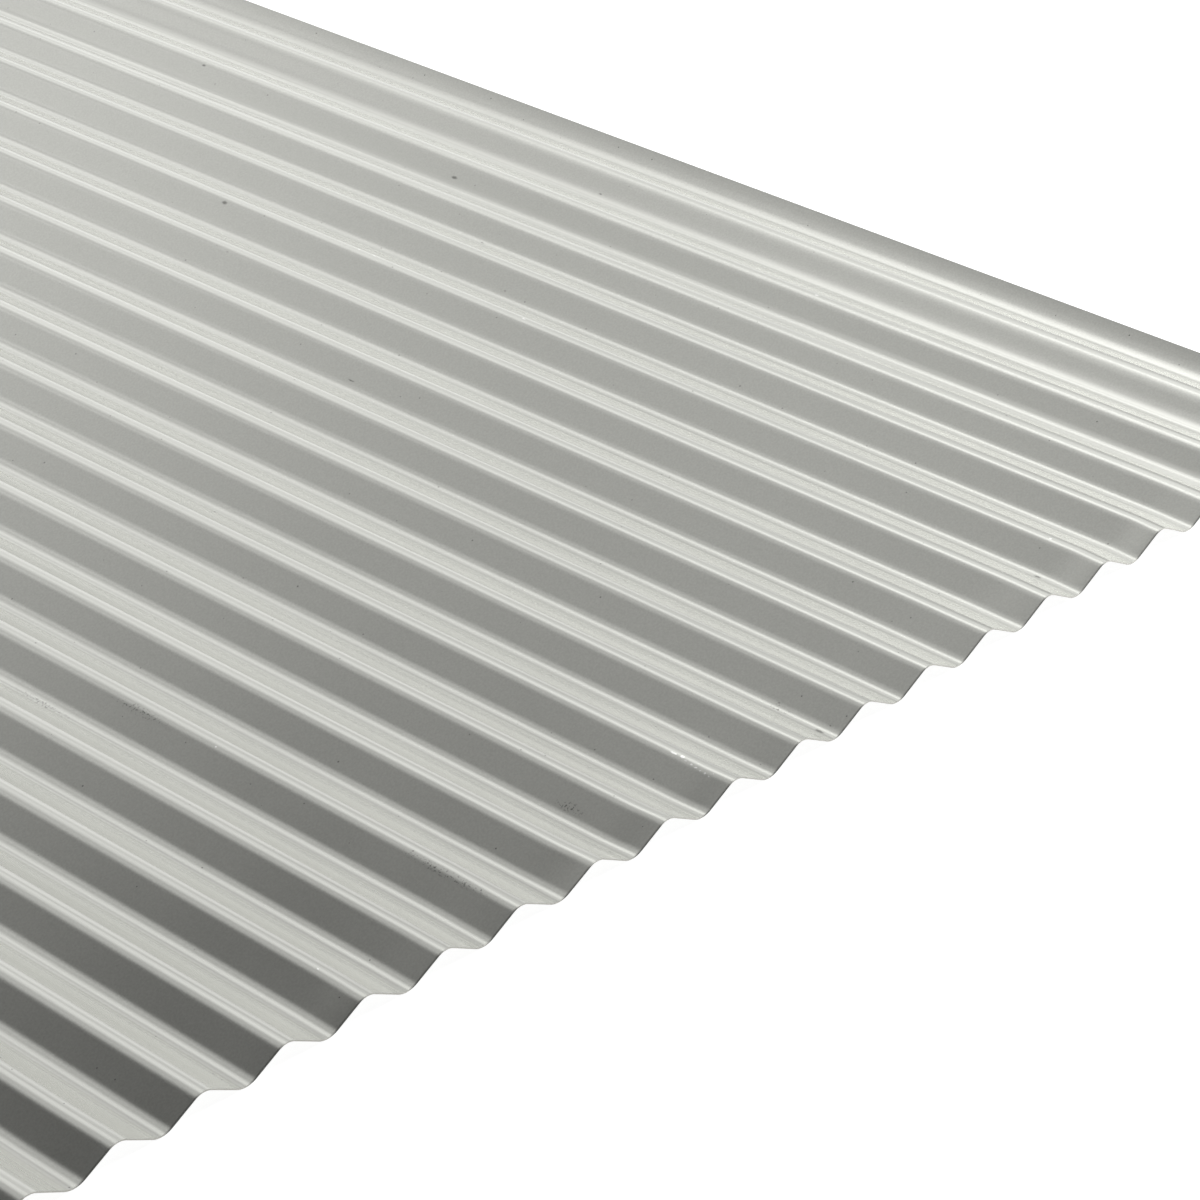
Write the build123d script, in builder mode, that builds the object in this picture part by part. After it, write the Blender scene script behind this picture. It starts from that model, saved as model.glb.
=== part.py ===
from build123d import *
import math
import os

# Corrugated metal sheet, roll-formed from one flat strip of coated steel, in millimetres.
# It lies flat: +Z up, the waves stand side by side along X and the corrugations run along Y.
# The origin is the middle of the sheet, at the height of the undersides of its troughs.

# Driving dimensions
sheet_length = 2000.0  # along the corrugations, between the two square-cut ends
wave_count = 26  # crests across the sheet
wave_pitch = 32.0  # from one crest to the next
wave_depth = 7.0  # from crest to trough, measured on the same face
bend_radius = 7.0  # of crests and troughs alike, at mid-thickness
strip_thickness = 0.5
edge_run = 3.7  # how far each side edge runs on past the half height of its flank

# Shape of one wave: crest and trough arcs joined by straight flanks that touch both.
# The centres of a crest arc and the next trough arc stand half a pitch apart. The flank is the
# inner tangent of the two circles, so its slope follows from their distance and radius.
half_pitch = wave_pitch / 2
centre_drop = wave_depth - 2 * bend_radius
centre_distance = math.hypot(half_pitch, centre_drop)
flank_angle = math.asin(2 * bend_radius / centre_distance) + math.atan2(centre_drop, half_pitch)
flank_slope = math.tan(flank_angle)

# Places in the section, which is drawn with X across the waves and Z up.
middle_height = (wave_depth + strip_thickness) / 2
flank_to_crest = half_pitch / 2
corner_rise = flank_to_crest * flank_slope
first_flank = -wave_count * wave_pitch / 2
last_flank = -first_flank


def face_corners(side):
    """Corners where the flank lines of one face meet: side is 1 for the top, -1 for the bottom."""
    lift = side * strip_thickness / 2 / math.cos(flank_angle)
    corners = []
    for corner in range(2 * wave_count):
        across = first_flank + flank_to_crest + corner * half_pitch
        rise = corner_rise if corner % 2 == 0 else -corner_rise
        corners.append((across, middle_height + lift + rise))
    return corners


def face_radii(side):
    """Bend radii of one face, crest and trough in turn: the outside of a bend is the larger."""
    growth = side * strip_thickness / 2
    return [bend_radius + growth, bend_radius - growth] * wave_count


def edge_corner(side, flank, run):
    """Corner of a side edge, which is cut square to the sloping flank that it ends."""
    across = flank + run - side * strip_thickness / 2 * math.sin(flank_angle)
    up = middle_height + run * flank_slope + side * strip_thickness / 2 * math.cos(flank_angle)
    return (across, up)


def face_outline(side):
    """Whole run of one face, from the side edge that turns down to the one that turns up."""
    start = edge_corner(side, first_flank, -edge_run)
    end = edge_corner(side, last_flank, edge_run)
    return [start, *face_corners(side), end]


# The sheet: its section between the two faces, carried along the corrugations.
with BuildPart() as corrugated_sheet:
    with BuildSketch(Plane.XZ.offset(sheet_length / 2)) as section:
        with BuildLine() as outline:
            top_face = FilletPolyline(*face_outline(1), radius=face_radii(1))
            bottom_face = FilletPolyline(*face_outline(-1), radius=face_radii(-1))
            Line(top_face @ 0, bottom_face @ 0)
            Line(top_face @ 1, bottom_face @ 1)
        make_face()
    extrude(amount=-sheet_length)

corrugated_sheet.part.label = "corrugated_sheet"

os.makedirs("parts", exist_ok=True)
export_step(corrugated_sheet.part, "parts/corrugated_sheet.step")
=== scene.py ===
import math

import bpy
import numpy as np
from mathutils import Matrix, Vector


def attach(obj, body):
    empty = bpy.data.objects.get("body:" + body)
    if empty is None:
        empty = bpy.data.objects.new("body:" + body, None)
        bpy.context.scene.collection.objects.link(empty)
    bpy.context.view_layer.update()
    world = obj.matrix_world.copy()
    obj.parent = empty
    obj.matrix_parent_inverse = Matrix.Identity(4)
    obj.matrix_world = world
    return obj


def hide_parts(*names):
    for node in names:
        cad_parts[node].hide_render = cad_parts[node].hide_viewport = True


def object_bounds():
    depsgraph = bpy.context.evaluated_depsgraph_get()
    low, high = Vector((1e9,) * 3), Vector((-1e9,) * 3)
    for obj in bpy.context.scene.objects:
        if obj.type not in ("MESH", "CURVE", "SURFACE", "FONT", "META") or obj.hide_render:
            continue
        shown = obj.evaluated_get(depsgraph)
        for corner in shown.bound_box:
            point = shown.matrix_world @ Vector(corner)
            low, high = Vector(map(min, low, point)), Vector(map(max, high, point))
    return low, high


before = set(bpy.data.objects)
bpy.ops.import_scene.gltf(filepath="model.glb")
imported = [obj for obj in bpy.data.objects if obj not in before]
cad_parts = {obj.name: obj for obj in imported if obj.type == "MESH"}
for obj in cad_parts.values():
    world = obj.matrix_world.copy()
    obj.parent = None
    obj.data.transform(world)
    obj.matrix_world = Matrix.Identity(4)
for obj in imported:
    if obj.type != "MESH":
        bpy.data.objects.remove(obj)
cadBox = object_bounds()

print("frame loaded:", ", ".join(sorted(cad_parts)))


def newNode(tree, kind, inputs=None, **settings):
    # a node of that kind, its sockets set or linked by name or number
    node = tree.nodes.new(kind)
    for name, value in settings.items():
        setattr(node, name, value)
    for key, value in (inputs or {}).items():
        if isinstance(value, bpy.types.NodeSocket):
            tree.links.new(value, node.inputs[key])
        else:
            node.inputs[key].default_value = value
    return node


def newMaterial(name):
    # an empty material with its output, and its tree
    material = bpy.data.materials.new(name)
    material.use_nodes = True
    material.node_tree.nodes.clear()
    return material, material.node_tree


def maths(tree, operation, first, second=0.0):
    # one step of arithmetic on numbers or sockets
    return newNode(tree, "ShaderNodeMath", {0: first, 1: second}, operation=operation).outputs[0]


def ramped(tree, value, low, high, outLow=0.0, outHigh=1.0):
    # outLow where value is at low, outHigh at high, an S curve between them, level beyond
    inputs = {"Value": value, "From Min": low, "From Max": high, "To Min": outLow, "To Max": outHigh}
    return newNode(tree, "ShaderNodeMapRange", inputs, interpolation_type="SMOOTHSTEP").outputs[0]


def spread(tree, value, low, high, outLow, outHigh):
    # the same with a straight line between
    inputs = {"Value": value, "From Min": low, "From Max": high, "To Min": outLow, "To Max": outHigh}
    return newNode(tree, "ShaderNodeMapRange", inputs).outputs[0]


def noise(tree, place, size, detail=2.0):
    # outputs of a noise whose blobs are about that size
    inputs = {"Vector": place, "Scale": 1 / size, "Detail": detail}
    return newNode(tree, "ShaderNodeTexNoise", inputs).outputs


sheetSpec = {
    "length": 2.0,            # along the corrugations
    "waves": 26,
    "pitch": 0.032,           # from crest to crest
    "depth": 0.007,           # crest to trough on one face
    "bendRadius": 0.007,      # at mid-thickness
    "thickness": 0.0005,
    "riseShift": 0.02,        # how far out the flanks stand that rise toward the far side, in pitches
    # The outer waves have rounder bends and a spacing of their own: (pitches out from the middle of
    # the sheet, slope there in degrees), from the third crest in to the side edge.
    "outerWaves": ((10.10, 29.66), (10.37, -36), (10.53, -36), (10.65, 2), (10.735, 14),
                   (10.76, 18.5), (10.83, 30.2), (11.05, 30.2), (11.10, 18.5), (11.13, 14.5),
                   (11.28, -29), (11.528, -29), (11.69, -2), (11.722, 13), (11.84, 21),
                   (11.935, 29.5), (12.035, 30.1), (12.10, 22), (12.155, 18.8), (12.348, -29),
                   (12.60, -29), (12.748, -1), (12.772, 13), (12.875, 20.5), (12.925, 27.5),
                   (13.0, 32.5), (13.1156, 33.5)),
    "turnStep": 6.0,          # degrees that the surface turns at most from one face to the next
    "straightTurn": 0.01,     # degrees; a step that turns less is a straight flank
    "flankStops": (0.06, 0.94),   # where a flank is divided, as shares of its width
    "rows": 60,               # rows of points along the sheet
    "rowCrowding": 3.1,       # how much closer the rows stand at both ends
    "risingStart": (0.5, 0.62),   # shares of the pitch past the crest over which the flank that rises
    "risingEnd": (0.9, 1.0),      # toward the far side starts and ends
    # How far the shear pushed each crest aside at the front end and how far in that reaches, in mm.
    "endShift": (0.0, -0.3, 0.4, 0.1, -0.5, -0.2, 0.3, 0.4, 0.0, -0.1, -0.4, -0.2, -0.6,
                 0.7, 0.65, 0.4, 0.15, 0.0, -0.4, -0.45, -0.5, -0.75, -0.85, -0.5, 0.3, 0.0),
    "endReach": (20, 25, 18, 30, 22, 18, 20, 30, 20, 20, 16, 20, 35,
                 16, 16, 12, 20, 30, 45, 42, 18, 14, 13, 25, 20, 20),
}


def slopeKnots(spec):
    # Where the slope of the section changes: places in pitches from the middle, and sines of the slope.
    # A bend turns by the flank angle to both sides of its middle, so it is radius * sin(flank angle)
    # wide there; the flank is the inner tangent of two such arcs. Bends stand half a pitch apart, at odd
    # quarters of the pitch. The outer waves of the near side are those of the far side, turned half a
    # turn.
    half, reach = spec["pitch"] / 2, 2 * spec["bendRadius"]
    drop = spec["depth"] - reach
    flank = math.asin(reach / math.hypot(half, drop)) + math.atan2(drop, half)
    outer = np.array(spec["outerWaves"])
    last = round(2 * outer[0, 0]) / 2 - 0.25
    bends = np.arange(-last, last + 0.1, 0.5)
    crest = np.arange(len(bends)) % 2 == 0
    width = spec["bendRadius"] * math.sin(flank) / spec["pitch"]
    start = bends - width + np.where(crest, spec["riseShift"], 0)
    end = bends + width + np.where(crest, 0, spec["riseShift"])
    turn = np.where(crest, math.sin(flank), -math.sin(flank))
    places, sines = np.stack([start, end], -1).ravel(), np.stack([turn, -turn], -1).ravel()
    outerSines = np.sin(np.radians(outer[:, 1]))
    return (np.concatenate([-outer[::-1, 0], places, outer[:, 0]]),
            np.concatenate([outerSines[::-1], sines, outerSines]))


def sheetSection(spec):
    # Mid-line of the strip across the waves, as complex numbers x + iz, and its slope angle. The sine
    # of the slope runs straight from knot to knot, which makes each bend an arc and each flank straight.
    # A step rises by its width * (sum of the sines at its ends) / (sum of their cosines).
    places, sines = slopeKnots(spec)
    turns = np.abs(np.diff(np.degrees(np.arcsin(sines))))
    stops = [np.linspace(0, 1, math.ceil(turn / spec["turnStep"]) + 1)[:-1] if turn > spec["straightTurn"]
             else np.array([0, *spec["flankStops"]]) for turn in turns]
    share = np.concatenate([i + stop for i, stop in enumerate(stops)] + [[len(turns)]])
    x = np.interp(share, np.arange(len(places)), places) * spec["pitch"]
    sine = np.interp(share, np.arange(len(sines)), sines)
    cosine = np.sqrt(1 - sine ** 2)
    rise = np.diff(x) * (sine[1:] + sine[:-1]) / (cosine[1:] + cosine[:-1])
    z = np.concatenate([[0], np.cumsum(rise)])
    z += (spec["depth"] + spec["thickness"] - z.min() - z.max()) / 2
    return x + 1j * z, np.arcsin(sine)


def rowPlaces(spec):
    # y of each row: half length * tanh(crowding * u) / tanh(crowding), u from -1 to 1
    u = np.linspace(-1, 1, spec["rows"])
    return spec["length"] / 2 * np.tanh(spec["rowCrowding"] * u) / math.tanh(spec["rowCrowding"])


def endShift(spec, x, y):
    # Sideways push near both cut ends: shift(x) * s * s * (3 - 2 s), where s falls from 1 at the cut
    # to 0 at reach(x); shift and reach run straight from crest to crest. The first crest stands a
    # quarter of the pitch in from the near side edge.
    crests = (np.arange(spec["waves"]) + 0.25 - spec["waves"] / 2) * spec["pitch"]
    total = np.zeros(np.broadcast(x, y).shape)
    for end in (1, -1):
        shift = np.interp(x, crests, np.array(spec["endShift"][::end]) / 1000)
        reach = np.interp(x, crests, np.array(spec["endReach"][::end]) / 1000)
        s = np.clip(1 - (spec["length"] / 2 + end * y) / reach, 0, 1)
        total = total + shift * s * s * (3 - 2 * s)
    return total


def sheetPoints(spec):
    # Both faces over (row, place across): mid-line + side * half the thickness along the normal.
    line, slope = sheetSection(spec)
    normal = 1j * np.exp(1j * slope)
    top = line + spec["thickness"] / 2 * normal
    bottom = line - spec["thickness"] / 2 * normal
    ring = np.concatenate([top, bottom[::-1]])          # once round the section
    y = rowPlaces(spec)[:, None]
    middle = np.concatenate([line, line[::-1]]).real    # both faces shift alike
    x = ring.real + endShift(spec, middle, y)
    return np.stack([x, y + 0 * x, ring.imag + 0 * x], axis=-1), len(line)


def sheetFaces(rows, ringSize, across):
    # Quads between neighbouring rows all round the ring, then the two cut ends between the faces.
    r, c = np.meshgrid(np.arange(rows - 1), np.arange(ringSize), indexing="ij")
    nextC = (c + 1) % ringSize
    here = r * ringSize
    behind = here + ringSize
    skin = np.stack([here + nextC, behind + nextC, behind + c, here + c], -1).reshape(-1, 4)
    i = np.arange(across - 1)
    front = np.stack([i, i + 1, ringSize - 2 - i, ringSize - 1 - i], -1)[:, ::-1]
    back = (front + (rows - 1) * ringSize)[:, ::-1]
    return skin, np.concatenate([front, back])


def meshFrom(name, points, quads):
    # a mesh of those points and four-cornered faces
    mesh = bpy.data.meshes.new(name)
    mesh.vertices.add(len(points))
    mesh.vertices.foreach_set("co", points.astype(np.float32).ravel())
    mesh.loops.add(quads.size)
    mesh.loops.foreach_set("vertex_index", quads.astype(np.int32).ravel())
    mesh.polygons.add(len(quads))
    mesh.polygons.foreach_set("loop_start", np.arange(0, quads.size, 4, dtype=np.int32))
    mesh.update(calc_edges=True)
    mesh.validate()
    return mesh


def makeSheet(spec):
    # One closed surface. Its cut faces are flat with sharp rims and have the second material.
    points, across = sheetPoints(spec)
    rows, ringSize = points.shape[:2]
    skin, ends = sheetFaces(rows, ringSize, across)
    points = points.reshape(-1, 3)
    low, high = points.min(0), points.max(0)
    boxLow, boxHigh = (np.array(corner) for corner in cadBox)
    points = boxLow + (points - low) * (boxHigh - boxLow) / (high - low)   # fills the CAD box, no more
    mesh = meshFrom("sheet", points, np.concatenate([skin, ends]))
    sideEdge = np.isin(np.arange(len(skin)) % ringSize, (across - 1, ringSize - 1))
    cut = np.concatenate([sideEdge, np.ones(len(ends), bool)])
    mesh.polygons.foreach_set("material_index", cut.astype(np.int32))
    mesh.polygons.foreach_set("use_smooth", ~cut)
    cornerEdge = np.empty(len(mesh.loops), np.int32)
    mesh.loops.foreach_get("edge_index", cornerEdge)
    sharp = np.zeros(len(mesh.edges), bool)
    sharp[cornerEdge.reshape(-1, 4)[cut]] = True
    mesh.edges.foreach_set("use_edge_sharp", sharp)
    sheet = bpy.data.objects.new("sheet", mesh)
    bpy.context.scene.collection.objects.link(sheet)
    print("sheet:", len(points), "points,", 2 * len(mesh.polygons), "triangles")
    return sheet


coatSpec = {
    "colour": (0.60, 0.605, 0.565),
    "metallic": 0.65,
    "roughness": (0.16, 0.19),    # least and most, in soft clouds
    "cloudSize": 0.06,
    "cloudShade": 0.015,          # how much lighter and darker the clouds are
    "noiseRange": (0.3, 0.7),     # most values of a noise lie between these
    "grainSize": 0.0008,          # orange peel of the coating
    "grainHeight": 0.0000003,
    "grainShade": 0.06,           # how much lighter and darker it makes the rising flanks
    "streakShade": 0.05,          # how much lighter and darker the streaks make the falling ones
    # Dark lines along every wave, partly drawn by the rolls and partly painted reflections of the
    # neighbouring wave: (share of the pitch past the crest, half width in mm, how much darker).
    "rollAndReflectionLines": ((0.49, 0.65, 0.14), (0.44, 0.35, 0.10), (0.40, 0.5, 0.07), (0.34, 0.7, 0.07),
                  (0.25, 0.9, 0.06), (0.17, 0.8, 0.06), (0.035, 0.5, 0.10), (0.085, 0.35, 0.08)),
    "lineFade": 0.12,             # length over which such a line comes and goes
    "lineFadeRange": (0.35, 0.6),   # noise values at which a line is faintest and full
    "lineFaintest": 0.35,
    "lineApart": 3.7,             # keeps the noises of the lines apart
    "rollFineness": 2.4,          # of the shallow ribs between them, alike on every wave
    "rollDrift": 0.5,             # how soon the ribs change along the sheet
    "rollHeight": 0.0000015,
    "streakSize": 0.0028,         # width of fine streaks along the sheet
    "streakSquash": 0.006,        # the smaller, the longer they are
    "streakHeight": 0.0000006,
    "dustSpacing": 0.022,         # about one dark pit in a square of this size
    "dustSize": 0.00032,
    "burrShadeReach": 0.0006,          # how far in from the cut ends the rising flanks get painted shade of the burr
    "burrShadeDarkness": 0.8,
}

# Small marks on the top face, in mm: (x, y, half width, half length).
markSpec = {
    # pale specks: near-white glints painted into the colour
    "paintedGlints": ((264.6, -717.1, 0.5, 0.9), (264.6, -727.4, 0.3, 0.6), (357.7, -786.2, 0.4, 0.9),
             (357.7, -832.3, 0.35, 0.7), (263.6, -975.7, 0.5, 0.6), (265.5, -623.7, 0.4, 0.8),
             (265.5, -632.6, 0.35, 0.8), (-88.7, -979.5, 0.3, 0.4), (-26.0, -864.3, 0.25, 0.4),
             (70.7, -974.9, 0.45, 1.5), (70.9, -978.6, 0.6, 1.0), (70.0, -980.6, 0.3, 0.5),
             (69.8, -983.4, 0.35, 0.5), (69.4, -985.6, 0.4, 0.5), (69.2, -987.7, 0.3, 0.4),
             (69.1, -989.8, 0.45, 0.5), (68.8, -991.6, 0.3, 0.4), (70.2, -992.4, 0.25, 0.35)),
    "dark": ((260.7, -548.2, 1.1, 2.0), (348.1, -594.2, 1.0, 2.2), (378.8, -649.3, 0.6, 1.2),
             (285.1, -686.4, 0.5, 0.6), (313.2, -645.4, 0.5, 1.4), (189.4, -699.2, 0.4, 2.4),
             (353.9, -430.4, 0.8, 1.6), (229.1, -585.3, 0.4, 0.6), (31.0, -761.9, 0.35, 0.4),
             (-30.8, -886.1, 0.35, 0.4), (123.8, -973.1, 0.45, 0.8), (91.5, -993.6, 0.3, 0.4),
             (92.1, -970.6, 0.35, 0.5), (162.2, -974.4, 0.3, 0.35), (248.6, -982.1, 0.7, 2.2),
             (120.3, -993.6, 0.8, 2.6), (124.1, -994.9, 0.4, 0.6)),
    "peppered": ((-27.0, -969.0, 2.4, 26.0), (-27.4, -828.0, 2.6, 20.0), (-40.4, -794.0, 2.4, 20.0),
                 (-45.8, -858.0, 2.0, 7.0), (30.0, -968.0, 3.0, 9.0), (122.0, -975.0, 2.5, 6.0)),
    "pepperSize": 0.0008,
    "pepperRange": (0.57, 0.63),  # noise values at which a speck starts and is full
    "raggedSize": 0.0007,         # the rims of marks are pushed about in blobs of this size
    "raggedPush": 0.0008,         # and by up to half of this
    "softness": {"paintedGlints": 0.2, "dark": 0.7, "peppered": 0.9},   # share of a mark that its rim takes up
    # colour of the painted glints
    "paintedGlintColour": (0.97, 0.97, 0.94),
    "darkColour": (0.17, 0.17, 0.155),
    "darkness": 0.85,
}

cutSpec = {
    "colour": (0.62, 0.61, 0.57),         # bare steel of crests, troughs and falling flanks
    "flankShadeColour": (0.09, 0.09, 0.082),   # painted shade on the cut faces of the rising flanks
    "metallic": 0.4,
    "roughness": (0.5, 0.7),
    "grainSize": 0.0004,
    "grainShade": 0.2,
}


def tinted(colour, share):
    return tuple(share * channel for channel in colour)


def mixed(tree, factor, first, second):
    # from the first colour at 0 to the second at 1; sockets 6 and 7 take colours, output 2 gives one
    node = newNode(tree, "ShaderNodeMix", {0: factor}, data_type="RGBA")
    for key, value in ((6, first), (7, second)):
        if isinstance(value, bpy.types.NodeSocket):
            tree.links.new(value, node.inputs[key])
        else:
            node.inputs[key].default_value = (*value, 1.0)
    return node.outputs[2]


def patchMask(tree, place, patches, topHeight, soft):
    # 1 inside any of the patches, falling to 0 over their rims: distance from the middle in half sizes
    total = 0.0
    for x, y, halfWidth, halfLength in patches:
        middle = (x / 1000, y / 1000, topHeight(x / 1000))
        reach = (halfWidth / 1000, halfLength / 1000, halfWidth / 1000)
        local = newNode(tree, "ShaderNodeMapping", {"Vector": place, "Location": middle, "Scale": reach},
                        vector_type="TEXTURE").outputs[0]
        distance = newNode(tree, "ShaderNodeVectorMath", {0: local}, operation="LENGTH").outputs["Value"]
        total = maths(tree, "MAXIMUM", total, ramped(tree, distance, 1 - soft, 1.0, 1.0, 0.0))
    return total


def wavePhase(tree, apart, pitch):
    # share of the pitch past the last crest, 0 to 1: the fraction of x / pitch + 3/4
    return maths(tree, "FRACT", maths(tree, "ADD", maths(tree, "DIVIDE", apart["X"], pitch), 0.75))


def risingFlank(tree, apart, sheetSize):
    # 1 on the flanks that rise toward the far side, 0 from each crest to the next trough
    phase = wavePhase(tree, apart, sheetSize["pitch"])
    begun = ramped(tree, phase, *sheetSize["risingStart"])
    return maths(tree, "MULTIPLY", begun, ramped(tree, phase, *sheetSize["risingEnd"], 1.0, 0.0))


def rollAndReflectionShade(tree, apart, spec, pitch):
    # Dark lines, partly drawn by the rolls and partly painted reflections of the neighbouring wave:
    # 1, less each line's darkness within its half width of its place in the pitch. Each line comes and
    # goes along the sheet with a noise of its own.
    phase = wavePhase(tree, apart, pitch)
    wave = maths(tree, "FLOOR", maths(tree, "DIVIDE", apart["X"], pitch))
    along = maths(tree, "DIVIDE", apart["Y"], spec["lineFade"])
    total = 1.0
    for number, (place, halfWidth, darker) in enumerate(spec["rollAndReflectionLines"]):
        offset = maths(tree, "ABSOLUTE", maths(tree, "SUBTRACT", phase, place))
        line = ramped(tree, offset, 0.0, halfWidth / 1000 / pitch, darker, 0.0)
        own = newNode(tree, "ShaderNodeCombineXYZ", {0: wave, 1: along, 2: number * spec["lineApart"]})
        comesAndGoes = noise(tree, own.outputs[0], 1.0, detail=1.0)["Fac"]
        fade = ramped(tree, comesAndGoes, *spec["lineFadeRange"], spec["lineFaintest"], 1.0)
        total = maths(tree, "SUBTRACT", total, maths(tree, "MULTIPLY", line, fade))
    return total


def coatBump(tree, spec, pitch, apart, rising, grain, streaks):
    # Three heights, each on top of the one before: orange peel of the rising flanks, shallow ribs and
    # streaks. The ribs are a noise on a circle walked once per wave, so every wave has the same ones.
    angle = maths(tree, "MULTIPLY", apart["X"], 2 * math.pi / pitch)
    aroundWave = newNode(tree, "ShaderNodeCombineXYZ",
                         {0: maths(tree, "COSINE", angle), 1: maths(tree, "SINE", angle),
                          2: maths(tree, "MULTIPLY", apart["Y"], spec["rollDrift"])}).outputs[0]
    ribs = noise(tree, aroundWave, 1 / spec["rollFineness"])["Fac"]
    bump = None
    for relief, height, strength in ((grain, "grainHeight", rising), (ribs, "rollHeight", 1.0),
                                     (streaks, "streakHeight", 1.0)):
        inputs = {"Height": relief, "Distance": spec[height], "Strength": strength}
        if bump:
            inputs["Normal"] = bump
        bump = newNode(tree, "ShaderNodeBump", inputs).outputs[0]
    return bump


def coatTone(tree, spec, pitch, apart, rising, grain, streaks, clouds):
    # Colour of the clean coat: its clouds, times the grain on rising flanks or the streaks on falling
    # ones, times the dark lines, partly roll lines and partly painted reflections of the neighbouring
    # wave.
    least, most = spec["noiseRange"]
    coat = mixed(tree, clouds, tinted(spec["colour"], 1 - spec["cloudShade"]),
                 tinted(spec["colour"], 1 + spec["cloudShade"]))
    grained = spread(tree, grain, least, most, 1 - spec["grainShade"], 1 + spec["grainShade"])
    lined = spread(tree, streaks, least, most, 1 - spec["streakShade"], 1 + spec["streakShade"])
    shade = spread(tree, rising, 0.0, 1.0, lined, grained)
    shade = maths(tree, "MULTIPLY", shade, rollAndReflectionShade(tree, apart, spec, pitch))
    return newNode(tree, "ShaderNodeVectorMath", {0: coat, "Scale": shade}, operation="SCALE").outputs[0]


def pitMask(tree, spec, place):
    # 1 in sparse round pits: one to a cell of a Voronoi pattern, as large as the cell's own chance
    pits = newNode(tree, "ShaderNodeTexVoronoi", {"Vector": place, "Scale": 1 / spec["dustSpacing"]},
                   voronoi_dimensions="2D").outputs
    chance = newNode(tree, "ShaderNodeSeparateColor", {0: pits["Color"]}).outputs[0]
    pitSize = maths(tree, "MULTIPLY", chance, spec["dustSize"] / spec["dustSpacing"])
    return maths(tree, "LESS_THAN", pits["Distance"], pitSize)


def burrShadeMask(tree, spec, length, apart, rising):
    # painted shade of the burr on the rising flanks, darkest at the cut ends and 0 from its reach on
    fromEnd = maths(tree, "SUBTRACT", length / 2, maths(tree, "ABSOLUTE", apart["Y"]))
    burrShaded = ramped(tree, fromEnd, 0.0, spec["burrShadeReach"], spec["burrShadeDarkness"], 0.0)
    return maths(tree, "MULTIPLY", burrShaded, rising)


def markMasks(tree, marks, sheetSize, place):
    # Masks of the dark marks, the pale specks painted as glints and the peppered patches. A noise pushes
    # the rims of the first two about; the last are specks of a fine noise.
    line, _ = sheetSection(sheetSize)
    soft = marks["softness"]

    def topHeight(x):
        return float(np.interp(x, line.real, line.imag)) + sheetSize["thickness"] / 2

    ragged = noise(tree, place, marks["raggedSize"])["Color"]
    push = newNode(tree, "ShaderNodeVectorMath",
                   {0: ragged, 1: (marks["raggedPush"],) * 3, 2: (-marks["raggedPush"] / 2,) * 3},
                   operation="MULTIPLY_ADD").outputs[0]
    raggedPlace = newNode(tree, "ShaderNodeVectorMath", {0: place, 1: push}, operation="ADD").outputs[0]
    dark = patchMask(tree, raggedPlace, marks["dark"], topHeight, soft["dark"])
    paintedGlints = patchMask(tree, raggedPlace, marks["paintedGlints"], topHeight, soft["paintedGlints"])
    specks = noise(tree, place, marks["pepperSize"], detail=1.0)["Fac"]
    peppered = maths(tree, "MULTIPLY", ramped(tree, specks, *marks["pepperRange"]),
                     patchMask(tree, place, marks["peppered"], topHeight, soft["peppered"]))
    return dark, paintedGlints, peppered


def makeCoating(spec, marks, sheetSize):
    # Pearl-grey coating over steel. Its colour is the clean coat's, under the largest of the dark masks
    # (marks, painted shade of the burr along the cut ends, specks, pits), under the pale specks painted
    # as glints.
    material, tree = newMaterial("coatedSteel")
    place = newNode(tree, "ShaderNodeTexCoord").outputs["Object"]
    apart = newNode(tree, "ShaderNodeSeparateXYZ", {0: place}).outputs
    rising = risingFlank(tree, apart, sheetSize)
    pitch = sheetSize["pitch"]

    grain = noise(tree, place, spec["grainSize"])["Fac"]
    stretched = newNode(tree, "ShaderNodeMapping",
                        {"Vector": place, "Scale": (1.0, spec["streakSquash"], 1.0)}).outputs[0]
    streaks = noise(tree, stretched, spec["streakSize"])["Fac"]
    clouds = noise(tree, place, spec["cloudSize"], detail=3.0)["Fac"]

    clean = coatTone(tree, spec, pitch, apart, rising, grain, streaks, clouds)
    dark, paintedGlints, peppered = markMasks(tree, marks, sheetSize, place)
    # painted shade of the burr along the cut ends of the rising flanks joins the dark masks
    dark = maths(tree, "MAXIMUM", dark, burrShadeMask(tree, spec, sheetSize["length"], apart, rising))
    dark = maths(tree, "MAXIMUM", maths(tree, "MAXIMUM", dark, peppered), pitMask(tree, spec, place))
    dark = maths(tree, "MULTIPLY", dark, marks["darkness"])
    colour = mixed(tree, paintedGlints, mixed(tree, dark, clean, marks["darkColour"]), marks["paintedGlintColour"])

    shader = newNode(tree, "ShaderNodeBsdfPrincipled",
                     {"Base Color": colour, "Metallic": spec["metallic"],
                      "Roughness": spread(tree, clouds, *spec["noiseRange"], *spec["roughness"]),
                      "Normal": coatBump(tree, spec, pitch, apart, rising, grain, streaks)})
    newNode(tree, "ShaderNodeOutputMaterial", {"Surface": shader.outputs[0]})
    return material


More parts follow.
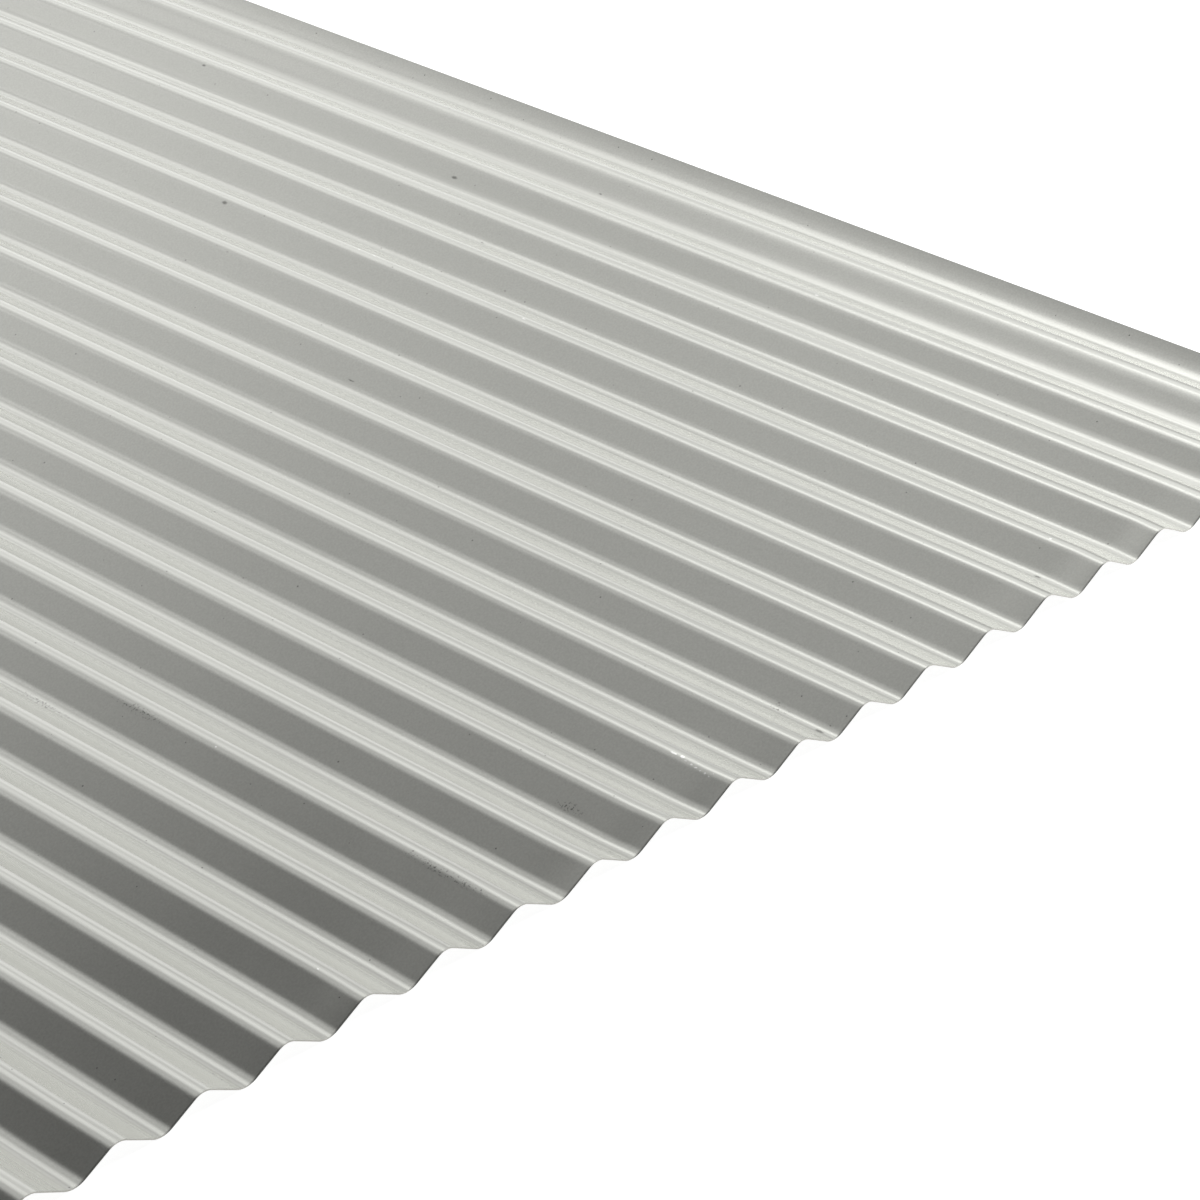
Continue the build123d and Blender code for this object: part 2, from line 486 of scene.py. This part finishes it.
def makeCutSteel(spec, sheetSize):
    # Bare steel of the cut ends and side edges, with painted shade on the rising flanks, and a fine
    # grain in its tone and gloss.
    material, tree = newMaterial("shearedSteel")
    place = newNode(tree, "ShaderNodeTexCoord").outputs["Object"]
    grain = noise(tree, place, spec["grainSize"], detail=3.0)["Fac"]
    rough = spread(tree, grain, 0.0, 1.0, *spec["roughness"])
    apart = newNode(tree, "ShaderNodeSeparateXYZ", {0: place}).outputs
    # the cut faces all face one way; the dark tone on the rising flanks is painted shade
    tone = mixed(tree, risingFlank(tree, apart, sheetSize), spec["colour"], spec["flankShadeColour"])
    shade = spread(tree, grain, 0.0, 1.0, 1 - spec["grainShade"], 1 + spec["grainShade"])
    tone = newNode(tree, "ShaderNodeVectorMath", {0: tone, "Scale": shade}, operation="SCALE").outputs[0]
    shader = newNode(tree, "ShaderNodeBsdfPrincipled",
                     {"Base Color": tone, "Metallic": spec["metallic"], "Roughness": rough})
    newNode(tree, "ShaderNodeOutputMaterial", {"Surface": shader.outputs[0]})
    return material


sheet = makeSheet(sheetSpec)
sheet.data.materials.append(makeCoating(coatSpec, markSpec, sheetSpec))
sheet.data.materials.append(makeCutSteel(cutSpec, sheetSpec))
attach(sheet, "root")
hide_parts("corrugated_sheet")


studioSpec = {
    "floorHalf": 30.0,
    "floorPaint": 0.8,         # as lamps and other surfaces see it
    "floorPaintSeen": 0.3,     # as the camera sees it, with the glow on top
    "floorGlow": 0.9,
    "fill": 0.056,             # even light from all round
    # Lights far off: degrees from +Y toward +X, degrees up, degrees from its middle at which it
    # starts to fade and is gone, and level.
    "farLights": ((15, 40, 6, 26, 0.73), (65, 40, 6, 26, 1.22), (32, 24, 3, 16, 1.01),
                  (-4, 36, 3, 16, 0.61), (0, 62, 3, 16, 0.40), (44, 10, 3, 16, 1.22),
                  (8, 36, 3, 16, 0.26), (50, 60, 16, 19, 0.20), (45, 52, 5, 11, 0.86),
                  (37, 47, 3, 11, 0.42), (30, 40, 3, 12, 0.39), (-85, 40, 6, 26, 0.10),
                  (180, 40, 10, 45, 0.24)),
    "lampPlace": (1.2, -1.0, 0.7),
    "lampTarget": (0.15, -0.75, 0.0),
    "lampSize": 0.7,
    "lampPower": 35.0,
}


def makeFloor(spec):
    # A wide square of white. It glows only for the camera and for what the sheet mirrors.
    half = spec["floorHalf"]
    points = np.array([[-half, -half, 0], [half, -half, 0], [half, half, 0], [-half, half, 0]])
    mesh = meshFrom("floor", points, np.array([[0, 1, 2, 3]]))
    floor = bpy.data.objects.new("floor", mesh)
    bpy.context.scene.collection.objects.link(floor)
    material, tree = newMaterial("floorWhite")
    rays = newNode(tree, "ShaderNodeLightPath").outputs
    seen = maths(tree, "MAXIMUM", rays["Is Camera Ray"], rays["Is Glossy Ray"])
    seen = maths(tree, "MAXIMUM", seen, rays["Is Transmission Ray"])
    paint = spread(tree, seen, 0.0, 1.0, spec["floorPaint"], spec["floorPaintSeen"])
    colour = newNode(tree, "ShaderNodeCombineColor", {0: paint, 1: paint, 2: paint}).outputs[0]
    diffuse = newNode(tree, "ShaderNodeBsdfDiffuse", {"Color": colour}).outputs[0]
    glow = newNode(tree, "ShaderNodeEmission",
                   {"Strength": maths(tree, "MULTIPLY", seen, spec["floorGlow"])}).outputs[0]
    both = newNode(tree, "ShaderNodeAddShader", {0: diffuse, 1: glow}).outputs[0]
    newNode(tree, "ShaderNodeOutputMaterial", {"Surface": both})
    mesh.materials.append(material)


def makeWorld(spec):
    # Even fill plus the far lights: each is its level times an S curve of the cosine between a ray
    # and the light's middle. The camera itself sees plain white all round.
    world = bpy.data.worlds.new("studio")
    bpy.context.scene.world = world
    world.use_nodes = True
    tree = world.node_tree
    tree.nodes.clear()
    ray = newNode(tree, "ShaderNodeTexCoord").outputs["Generated"]
    total = spec["fill"]
    for turn, rise, inner, outer, level in spec["farLights"]:
        turn, rise = math.radians(turn), math.radians(rise)
        middle = (math.sin(turn) * math.cos(rise), math.cos(turn) * math.cos(rise), math.sin(rise))
        cosine = newNode(tree, "ShaderNodeVectorMath", {0: ray, 1: middle}, operation="DOT_PRODUCT")
        edge = [math.cos(math.radians(angle)) for angle in (outer, inner)]
        total = maths(tree, "ADD", total, ramped(tree, cosine.outputs["Value"], *edge, 0.0, level))
    camera = newNode(tree, "ShaderNodeLightPath").outputs["Is Camera Ray"]
    strength = maths(tree, "MAXIMUM", total, camera)
    background = newNode(tree, "ShaderNodeBackground", {"Strength": strength}).outputs[0]
    newNode(tree, "ShaderNodeOutputWorld", {"Surface": background})


def makeLamp(spec):
    # A round soft lamp beside the front end, facing the sheet.
    data = bpy.data.lights.new("sideLamp", "AREA")
    data.shape = "DISK"
    data.size = spec["lampSize"]
    data.energy = spec["lampPower"]
    lamp = bpy.data.objects.new("sideLamp", data)
    bpy.context.scene.collection.objects.link(lamp)
    lamp.visible_camera = False
    lamp.location = spec["lampPlace"]
    aim = Vector(spec["lampTarget"]) - Vector(spec["lampPlace"])
    lamp.rotation_euler = aim.to_track_quat("-Z", "Y").to_euler()


makeFloor(studioSpec)
makeWorld(studioSpec)
makeLamp(studioSpec)
print("studio ready")


cameraSpec = {
    "place": (-0.7429, -1.7255, 0.6969),
    "toward": (0.6256, 0.6017, -0.4965),
    "up": (0.3650, 0.3368, 0.8680),
    "lens": 122.43,           # mm
    "sensor": 36.0,           # mm wide
    "clip": (0.05, 200.0),
}


def makeCamera(spec):
    # Columns of its matrix are right, up and back.
    data = bpy.data.cameras.new("camera")
    data.sensor_width = spec["sensor"]
    data.lens = spec["lens"]
    data.clip_start, data.clip_end = spec["clip"]
    camera = bpy.data.objects.new("camera", data)
    bpy.context.scene.collection.objects.link(camera)
    back = -Vector(spec["toward"]).normalized()
    right = Vector(spec["up"]).cross(back).normalized()
    turn = Matrix((right, back.cross(right), back)).transposed().to_4x4()
    camera.matrix_world = Matrix.Translation(spec["place"]) @ turn
    bpy.context.scene.camera = camera


makeCamera(cameraSpec)
bpy.context.scene.view_settings.view_transform = "Standard"
print("camera ready")
